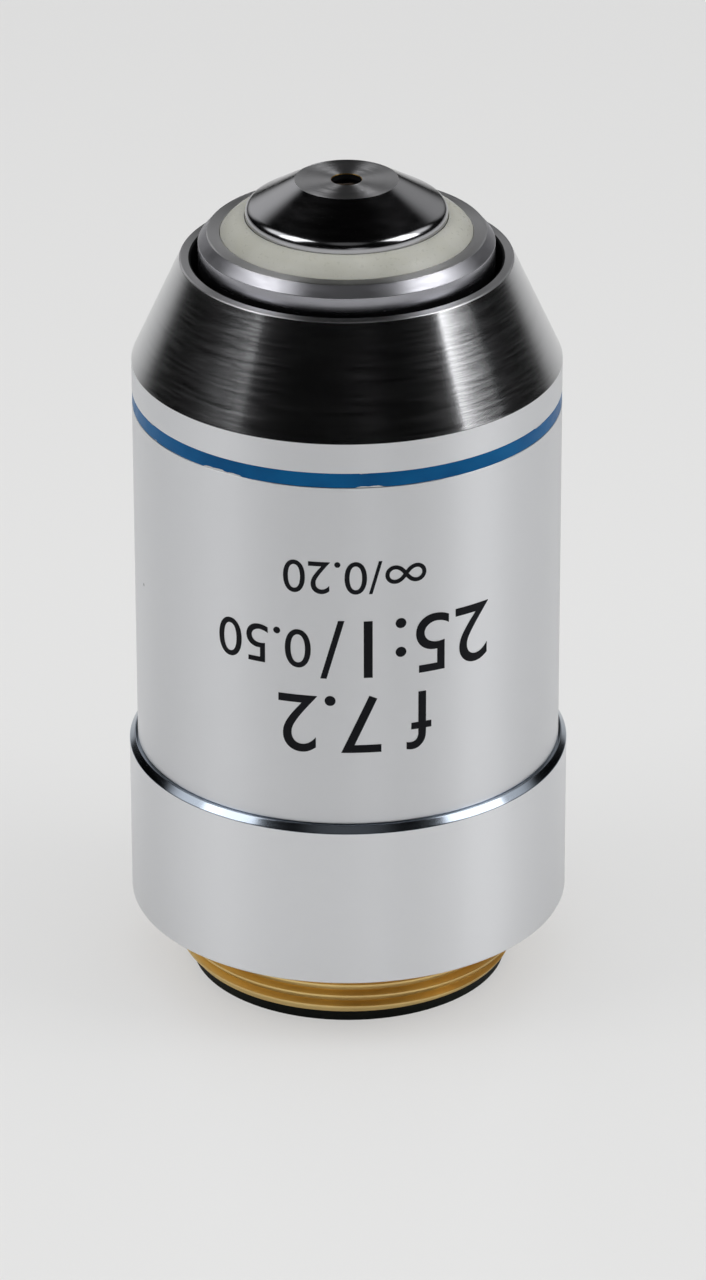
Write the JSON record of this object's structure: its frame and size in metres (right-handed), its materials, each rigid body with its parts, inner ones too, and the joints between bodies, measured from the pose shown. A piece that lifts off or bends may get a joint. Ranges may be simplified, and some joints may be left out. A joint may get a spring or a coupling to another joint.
{
  "type": "microscope objective",
  "caption": "Cylindrical microscope objective with a screw mount, a blue colour band, a conical front and a spring-loaded nose that slides back into the barrel.",
  "frame": {"origin": "centre of the rear end face, on the optical axis", "axes": "+Z along the optical axis, from the mounting thread to the front lens"},
  "size_m": [0.0258, 0.0258, 0.0494],
  "materials": {
    "plated_brass": "satin chrome plate over brass, bare at the thread",
    "satin_chrome": "satin chrome plate with a bright-cut cone",
    "sleeve_chrome": "satin chrome plate over brass",
    "blue_lacquer": "gloss lacquer",
    "black_paint": "matt black paint",
    "black_brass": "blackened brass",
    "plain_brass": "turned brass",
    "spring_steel": "drawn wire and turned steel",
    "polished_steel": "polished with fine turning marks",
    "cream_polymer": "smooth cream polymer",
    "crown_glass": "coated optical glass",
    "flint_glass": "coated optical glass"
  },
  "bodies": {
    "barrel": {"mount_base": "plated_brass", "rear_ring": "black_paint", "outer_barrel": "satin_chrome", "colour_band": "blue_lacquer", "stop_ring": "plain_brass", "lock_ring": "plain_brass", "guide_screw": "spring_steel", "retraction_spring": "spring_steel"},
    "nose": {"lens_sleeve": "sleeve_chrome", "seal_ring": "cream_polymer", "front_cell": "polished_steel", "front_lens": "crown_glass", "second_lens_cell": "black_brass", "second_lens": "crown_glass", "front_doublet_cell": "black_brass", "front_doublet_crown": "crown_glass", "front_doublet_flint": "flint_glass", "doublet_spacer": "black_brass", "middle_doublet_cell": "black_brass", "middle_doublet_flint": "flint_glass", "middle_doublet_crown": "crown_glass", "aperture_spacer": "black_brass", "rear_doublet_cell": "black_brass", "rear_doublet_crown": "crown_glass", "rear_doublet_flint": "flint_glass", "lens_retaining_ring": "black_brass"}
  },
  "joints": [
    {"name": "nose_slide", "type": "slide", "parent": "barrel", "child": "nose", "axis": [0, 0, -1], "range_m": [0, 0.002], "stiffness_N_per_m": 600, "springref_m": -0.004, "deforming": ["retraction_spring"]}
  ]
}
